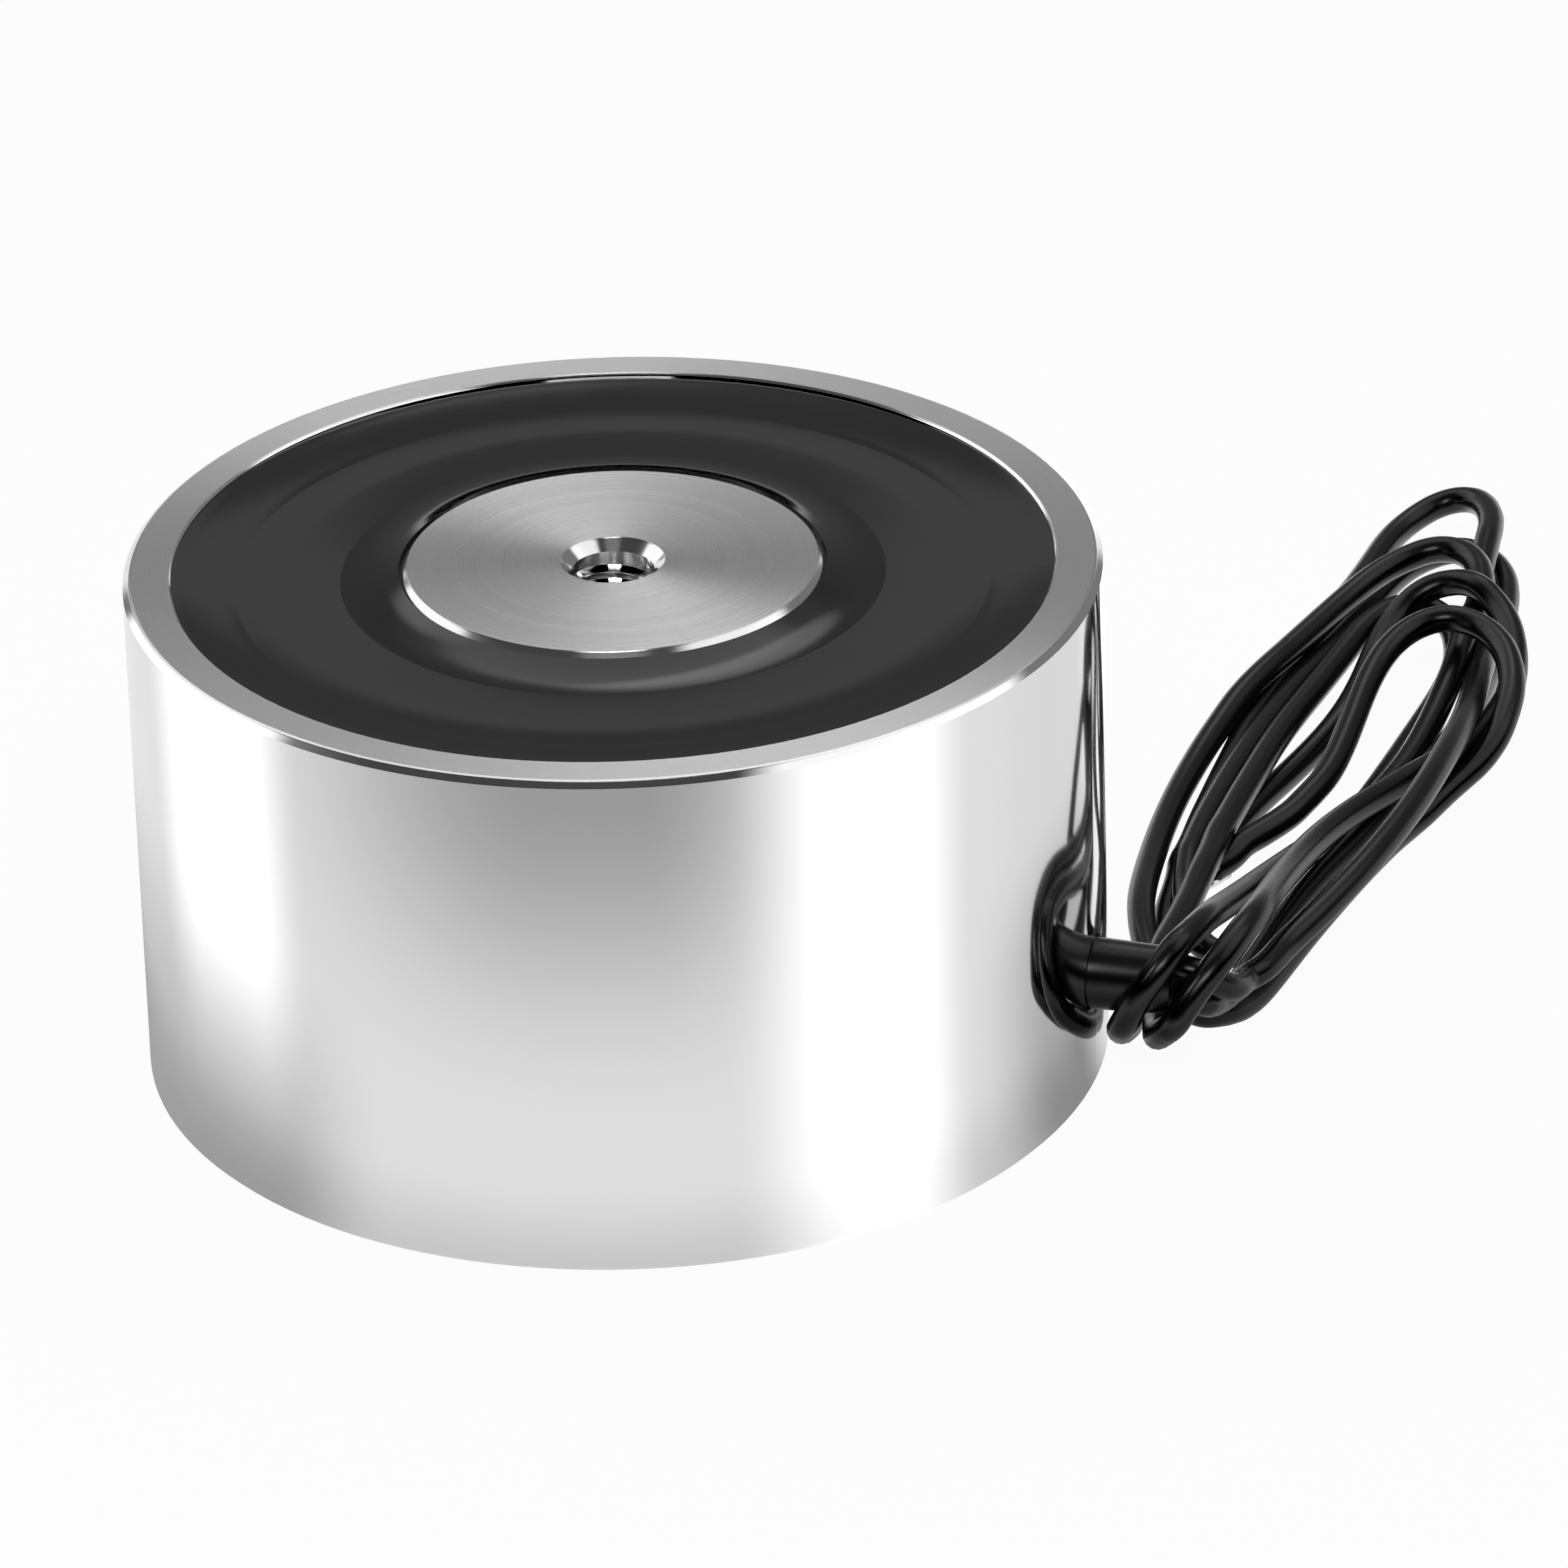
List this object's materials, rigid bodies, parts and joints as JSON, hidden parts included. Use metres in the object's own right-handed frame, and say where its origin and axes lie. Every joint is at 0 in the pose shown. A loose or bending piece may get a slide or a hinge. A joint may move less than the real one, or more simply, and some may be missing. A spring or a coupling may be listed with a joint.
{
  "type": "holding electromagnet",
  "caption": "Round holding electromagnet: plated steel pot, tapped pole core, cast coil and flying leads gathered in a hank.",
  "frame": {"origin": "centre of the back face, on the surface the magnet stands on", "axes": "+Z along the magnet's axis to the pole face, +X out along the lead sleeve"},
  "size_m": [0.1036, 0.1518, 0.044],
  "materials": {
    "pot_plate": "mirror-polished nickel plate, satin on the pole ring",
    "pole_face": "fine turned face with a bright bevel",
    "former": "natural moulded nylon",
    "coil_wire": "enamelled copper wire",
    "tape": "yellow film tape",
    "compound": "glossy black cast compound",
    "sleeve": "satin black",
    "lead_jacket": "satin black PVC",
    "splice": "white shrink tube"
  },
  "bodies": {
    "root": {"shell": "pot_plate", "core": "pole_face", "bobbin": "former", "winding": "coil_wire", "coil_tape": "tape", "potting": "compound", "exit_sleeve": "sleeve", "lead_end_a": "lead_jacket", "lead_end_b": "lead_jacket", "splice_sleeve_a": "splice", "splice_sleeve_b": "splice", "lead_a": "lead_jacket", "lead_b": "lead_jacket", "lead_hank": "lead_jacket"}
  },
  "joints": []
}
